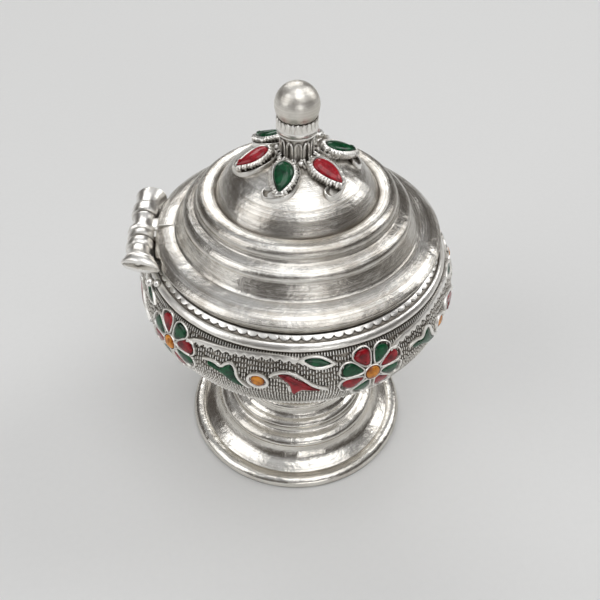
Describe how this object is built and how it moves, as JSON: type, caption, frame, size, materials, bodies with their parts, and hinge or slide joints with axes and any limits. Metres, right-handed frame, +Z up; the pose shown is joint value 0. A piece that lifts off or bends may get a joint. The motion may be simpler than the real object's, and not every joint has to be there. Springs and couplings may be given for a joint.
{
  "type": "kumkum box",
  "caption": "Small round silver box for kumkum powder on a turned foot, with a hinged domed lid, a ball finial and raised enamel flowers, leaves and paisleys.",
  "frame": {"origin": "centre of the foot's underside, on the surface that the box stands on", "axes": "+Z up through the finial; -X towards the hinge, +X towards the side where the lid opens"},
  "size_m": [0.0546, 0.0526, 0.0698],
  "materials": {
    "silver": "turned and brushed silver, darker in the recesses",
    "bright_silver": "polished silver with light wear",
    "red_enamel": "deep red glossy enamel",
    "green_enamel": "bottle green glossy enamel",
    "orange_enamel": "orange glossy enamel"
  },
  "bodies": {
    "bowl": {"foot": "silver", "foot_ring": "silver", "bowl_shell": "silver", "mouth_ring": "bright_silver", "band_ring_upper": "bright_silver", "band_ring_lower": "bright_silver", "flower_1": "bright_silver", "flower_2": "bright_silver", "flower_3": "bright_silver", "flower_4": "bright_silver", "flower_5": "bright_silver", "flower_centre_1": "orange_enamel", "flower_centre_2": "orange_enamel", "flower_centre_3": "orange_enamel", "flower_centre_4": "orange_enamel", "flower_centre_5": "orange_enamel", "green_leaf_1": "green_enamel", "green_leaf_2": "green_enamel", "green_leaf_3": "green_enamel", "green_leaf_4": "green_enamel", "green_leaf_5": "green_enamel", "berry_1": "orange_enamel", "berry_2": "orange_enamel", "berry_3": "orange_enamel", "berry_4": "orange_enamel", "berry_5": "orange_enamel", "red_leaf_1": "red_enamel", "red_leaf_2": "red_enamel", "red_leaf_3": "red_enamel", "red_leaf_4": "red_enamel", "red_leaf_5": "red_enamel", "almond_leaf_1": "green_enamel", "almond_leaf_2": "green_enamel", "almond_leaf_3": "green_enamel", "almond_leaf_4": "green_enamel", "almond_leaf_5": "green_enamel", "hinge_leaf_bowl": "silver", "hinge_pin": "silver"},
    "lid": {"hinge_leaf_lid": "silver", "lid_shell": "silver", "lid_bezel": "silver", "finial_neck": "silver", "finial_collar": "silver", "finial_ball": "bright_silver", "paisley_mount_1": "silver", "paisley_mount_2": "silver", "paisley_mount_3": "silver", "paisley_mount_4": "silver", "paisley_mount_5": "silver", "paisley_mount_6": "silver", "paisley_stone_1": "green_enamel", "paisley_stone_2": "red_enamel", "paisley_stone_3": "green_enamel", "paisley_stone_4": "red_enamel", "paisley_stone_5": "green_enamel", "paisley_stone_6": "red_enamel"}
  },
  "joints": [
    {"name": "lid_hinge", "type": "hinge", "parent": "bowl", "child": "lid", "pos_m": [-0.0246, 0, 0.045], "axis": [0, -1, 0], "range_deg": [0, 110]}
  ]
}
